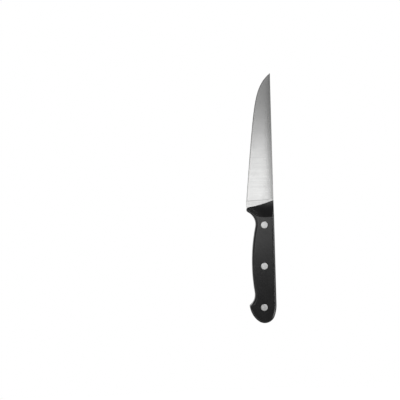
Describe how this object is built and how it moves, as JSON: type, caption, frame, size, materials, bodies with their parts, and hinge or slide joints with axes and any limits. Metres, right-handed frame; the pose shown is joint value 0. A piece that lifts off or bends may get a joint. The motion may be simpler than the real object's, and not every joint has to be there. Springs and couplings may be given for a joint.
{
  "type": "boning knife",
  "caption": "Narrow kitchen knife with a full-tang steel blade and a black handle of two riveted scales, hooked at the butt, hung by its blade.",
  "frame": {"origin": "on the mid-plane of the blade, where the middle of a rack's bar touches it, 5 mm in from the spine", "axes": "+Z along the spine towards the tip, as the knife hangs; +Y out of the back face of the blade, through its thickness; +X from the edge towards the spine"},
  "size_m": [0.0314, 0.0164, 0.2862],
  "materials": {
    "blade_steel": "fine satin, ground across the blade",
    "handle_plastic": "moulded, semi-matt black",
    "rivet_metal": "polished flush with the handle"
  },
  "bodies": {
    "root": {"blade": "blade_steel", "front_scale": "handle_plastic", "back_scale": "handle_plastic", "front_rivet_socket": "rivet_metal", "front_rivet_pin": "rivet_metal", "middle_rivet_socket": "rivet_metal", "middle_rivet_pin": "rivet_metal", "rear_rivet_socket": "rivet_metal", "rear_rivet_pin": "rivet_metal"}
  },
  "joints": []
}
